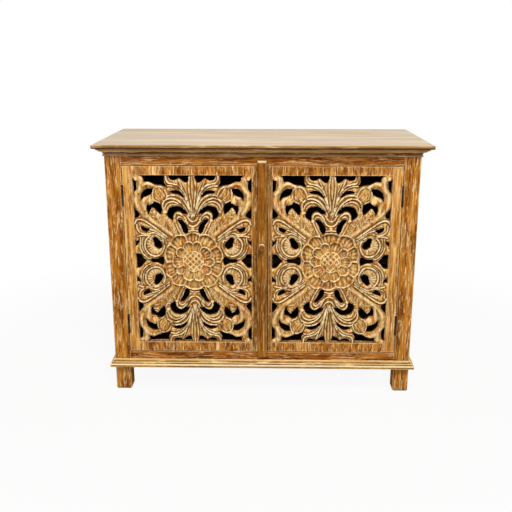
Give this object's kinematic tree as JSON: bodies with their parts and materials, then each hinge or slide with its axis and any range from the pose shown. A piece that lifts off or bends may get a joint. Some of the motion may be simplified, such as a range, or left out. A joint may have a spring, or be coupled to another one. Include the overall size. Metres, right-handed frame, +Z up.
{
  "type": "cabinet",
  "caption": "Low two-door wooden cabinet with pierced, scroll-carved door panels round rosettes, square legs, coved cornice and an overhanging top.",
  "frame": {"origin": "on the floor, under the middle of the top board", "axes": "+X to the right of someone facing the doors, +Y towards the back, +Z up"},
  "size_m": [1, 0.47, 0.79],
  "materials": {
    "stained_wood": "satin, rubbed stain",
    "limed_top_wood": "limed and waxed",
    "carved_limed_wood": "carved, stained and rubbed with lime wax",
    "dark_inner_wood": "dark stain",
    "hinge_iron": "blackened"
  },
  "bodies": {
    "carcass": {"top_board": "limed_top_wood", "cornice_front": "stained_wood", "cornice_left": "stained_wood", "cornice_right": "stained_wood", "base_moulding_front": "stained_wood", "base_moulding_left": "stained_wood", "base_moulding_right": "stained_wood", "front_left_post": "stained_wood", "front_right_post": "stained_wood", "rear_left_post": "stained_wood", "rear_right_post": "stained_wood", "front_top_rail": "stained_wood", "front_bottom_rail": "stained_wood", "rear_top_rail": "stained_wood", "rear_bottom_rail": "stained_wood", "left_top_rail": "stained_wood", "left_bottom_rail": "stained_wood", "right_top_rail": "stained_wood", "right_bottom_rail": "stained_wood", "left_side_panel": "stained_wood", "right_side_panel": "stained_wood", "back_panel": "stained_wood", "bottom_board": "dark_inner_wood", "shelf": "dark_inner_wood", "shelf_cleat_left": "dark_inner_wood", "shelf_cleat_right": "dark_inner_wood", "door_stop": "dark_inner_wood", "upper_left_hinge_post_leaf": "hinge_iron", "upper_right_hinge_post_leaf": "hinge_iron", "lower_left_hinge_post_leaf": "hinge_iron", "lower_right_hinge_post_leaf": "hinge_iron"},
    "left_door": {"left_door_hinge_stile": "stained_wood", "left_door_meeting_stile": "stained_wood", "left_door_top_rail": "stained_wood", "left_door_bottom_rail": "stained_wood", "left_door_carved_panel": "carved_limed_wood", "meeting_strip": "stained_wood", "knob": "stained_wood", "upper_left_hinge_door_leaf": "hinge_iron", "lower_left_hinge_door_leaf": "hinge_iron"},
    "right_door": {"right_door_hinge_stile": "stained_wood", "right_door_meeting_stile": "stained_wood", "right_door_top_rail": "stained_wood", "right_door_bottom_rail": "stained_wood", "right_door_carved_panel": "carved_limed_wood", "upper_right_hinge_door_leaf": "hinge_iron", "lower_right_hinge_door_leaf": "hinge_iron"}
  },
  "joints": [
    {"name": "left_door_swing", "type": "hinge", "parent": "carcass", "child": "left_door", "pos_m": [-0.419, -0.203, 0.43], "axis": [0, 0, -1], "range_deg": [0, 105]},
    {"name": "right_door_swing", "type": "hinge", "parent": "carcass", "child": "right_door", "pos_m": [0.419, -0.203, 0.43], "axis": [0, 0, 1], "range_deg": [0, 105]}
  ]
}
